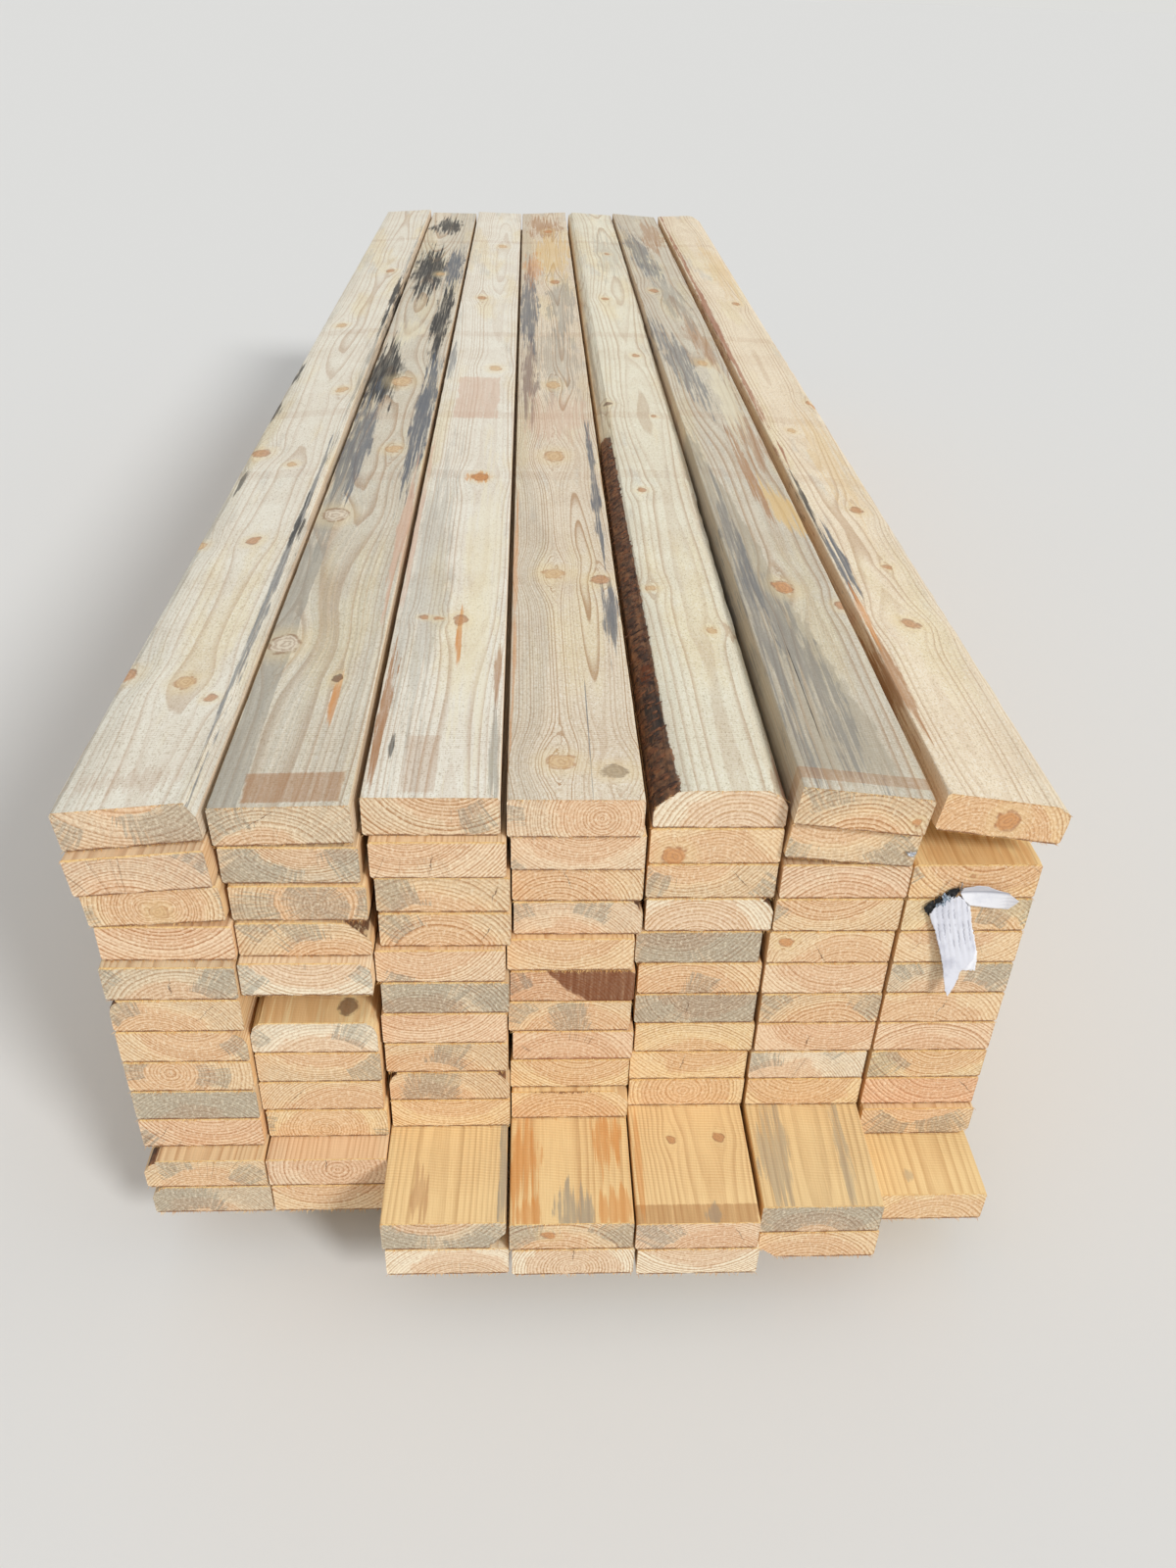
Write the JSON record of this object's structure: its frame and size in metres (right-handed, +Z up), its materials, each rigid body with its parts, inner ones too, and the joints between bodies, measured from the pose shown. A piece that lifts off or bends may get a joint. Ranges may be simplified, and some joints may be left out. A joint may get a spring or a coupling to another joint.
{
  "type": "stack of lumber",
  "caption": "Flat stack of rough-sawn softwood boards laid in even courses on cross bearers, some ends pushed out and some top boards twisted, with a torn paper tag stapled to one end.",
  "frame": {"origin": "middle of the middle bearer's underside, on the ground", "axes": "+Y along the boards, away from the tagged end; +X across the stack, to the right seen from the tagged end; +Z up"},
  "size_m": [1.0971, 3.932, 0.6921],
  "materials": {
    "sawn_board": "rough sawn, dry, with blue-grey sapwood stain",
    "bearer": "rough sawn, weathered",
    "tag_paper": "matt paper, creased and torn",
    "staple_wire": "bright wire"
  },
  "bodies": {
    "root": {"top_board_1": "sawn_board", "top_board_2": "sawn_board", "top_board_3": "sawn_board", "top_board_4": "sawn_board", "top_board_5": "sawn_board", "top_board_6": "sawn_board", "top_board_7": "sawn_board", "course_02_boards": "sawn_board", "course_03_boards": "sawn_board", "course_04_boards": "sawn_board", "course_05_boards": "sawn_board", "course_06_boards": "sawn_board", "course_07_boards": "sawn_board", "course_08_boards": "sawn_board", "course_09_boards": "sawn_board", "course_10_boards": "sawn_board", "course_11_boards": "sawn_board", "course_12_boards": "sawn_board", "front_bearer": "bearer", "middle_bearer": "bearer", "back_bearer": "bearer", "paper_tag": "tag_paper", "torn_scrap": "tag_paper", "tag_staple": "staple_wire", "scrap_staple": "staple_wire"}
  },
  "joints": []
}
